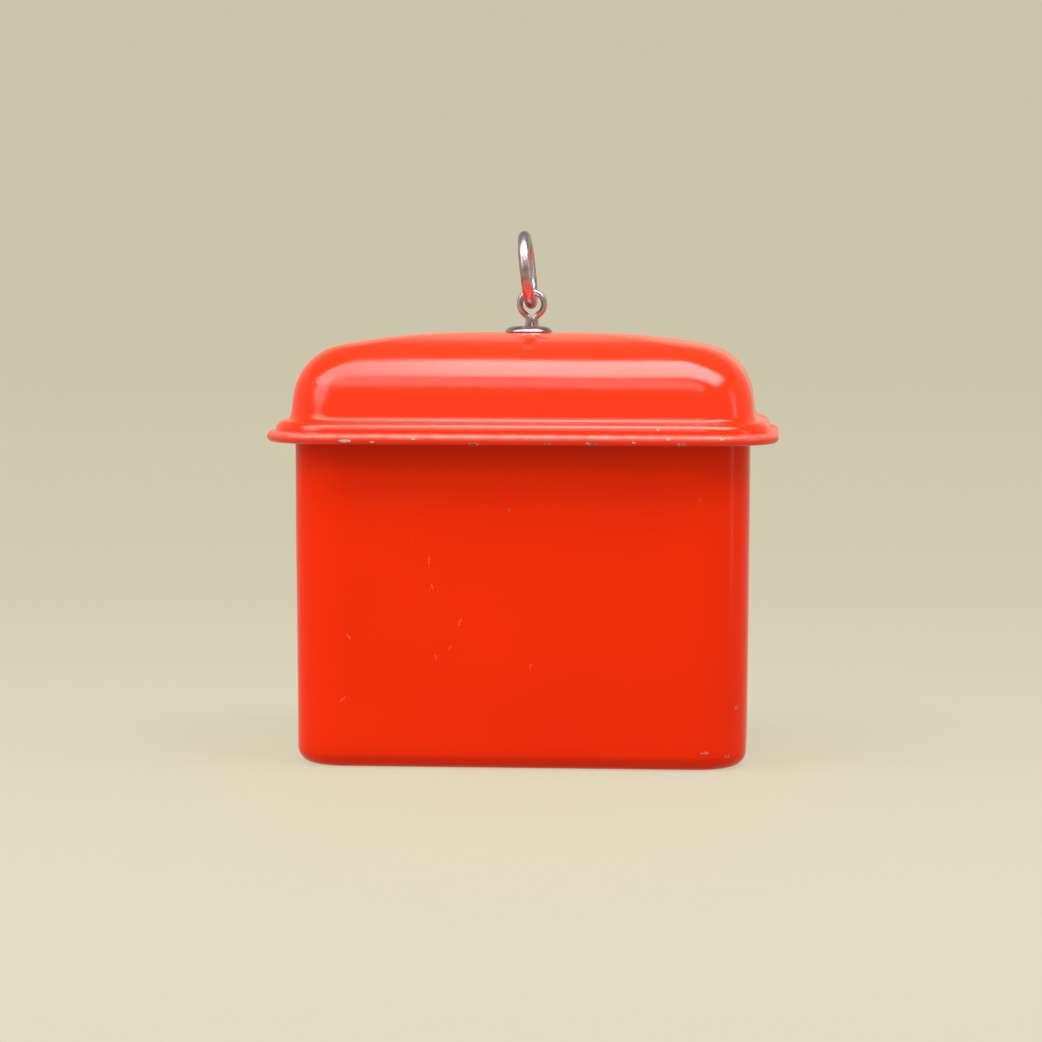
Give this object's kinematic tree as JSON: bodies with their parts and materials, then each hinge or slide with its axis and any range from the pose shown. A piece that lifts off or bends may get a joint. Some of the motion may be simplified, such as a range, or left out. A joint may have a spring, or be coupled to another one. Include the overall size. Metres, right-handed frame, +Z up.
{
  "type": "lidded enamel storage bin",
  "caption": "Red enamelled sheet-steel storage bin with rounded corners, a lift-off domed lid with a rolled edge, and a metal lift ring held by a wire eye and rosette.",
  "frame": {"origin": "middle of the flat base, on the surface that the bin stands on", "axes": "+Z up, X along the width of the bin, Y along its depth; the ring swings about Y and leans a little towards -X at rest"},
  "size_m": [0.32, 0.2074, 0.3339],
  "materials": {
    "red_enamel": "glossy vitreous enamel, orange-red, lightly scratched and chipped along the rolled edge",
    "nickel_plate": "polished nickel plate, slightly worn",
    "zinc_steel": "dull zinc-plated steel"
  },
  "bodies": {
    "bin": {"bin_body": "red_enamel"},
    "lid": {"lid_shell": "red_enamel", "rosette": "nickel_plate", "ring_eye": "nickel_plate", "backing_washer": "zinc_steel"},
    "ring": {"lift_ring": "nickel_plate"}
  },
  "joints": [
    {"name": "lid_lift", "type": "slide", "parent": "bin", "child": "lid", "axis": [0, 0, 1], "range_m": [0, 0.15]},
    {"name": "ring_swing", "type": "hinge", "parent": "lid", "child": "ring", "pos_m": [0.0021, 0, 0.2879], "axis": [0, 1, 0], "range_deg": [-102, 114]}
  ]
}
